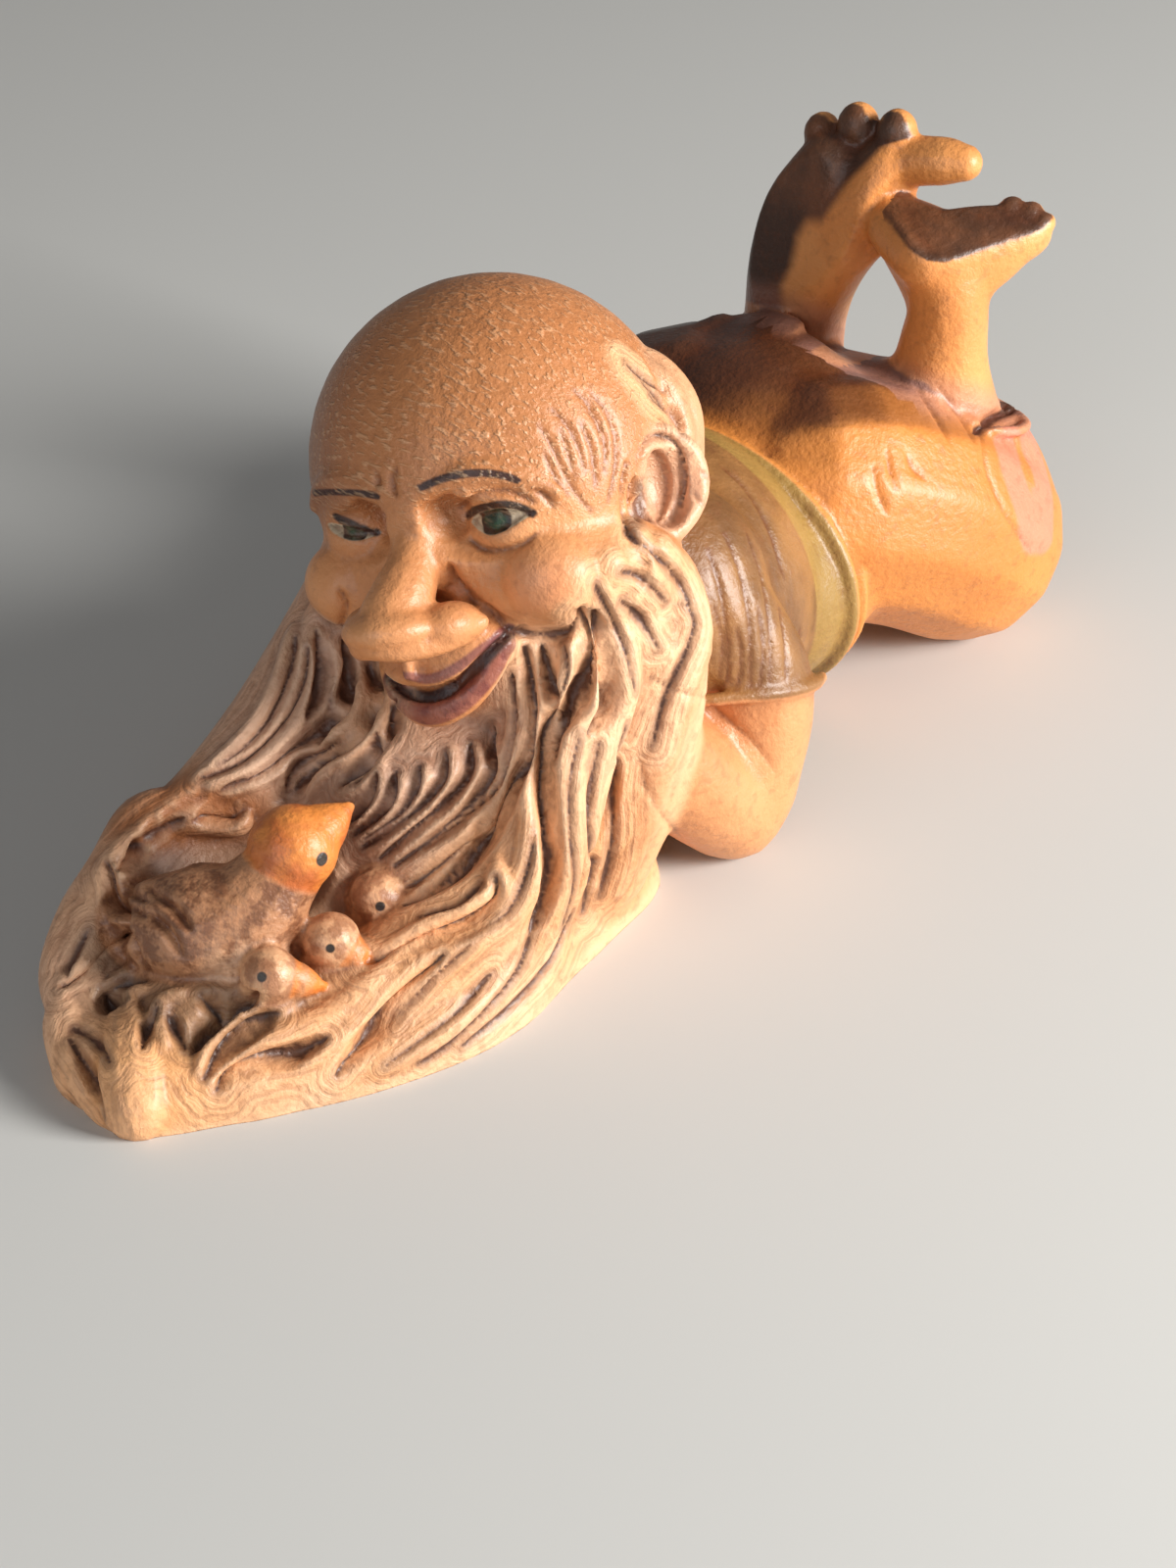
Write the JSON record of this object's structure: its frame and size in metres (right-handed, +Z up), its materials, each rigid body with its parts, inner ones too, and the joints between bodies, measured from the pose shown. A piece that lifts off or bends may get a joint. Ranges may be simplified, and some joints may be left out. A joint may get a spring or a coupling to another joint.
{
  "type": "carved figurine",
  "caption": "Painted carved wood troll lying on its front with birds nesting in its long beard, a shelf ornament.",
  "frame": {"origin": "centre of the bounding box at the flat underside", "axes": "+Y from the head to the feet, the longest extent; +X to the figure's own left; +Z up"},
  "size_m": [0.0688, 0.1676, 0.077],
  "materials": {
    "painted_wood": "hand painted and varnished, half gloss, dark wash in the carving"
  },
  "bodies": {
    "root": {"troll_figurine": "painted_wood"}
  },
  "joints": []
}
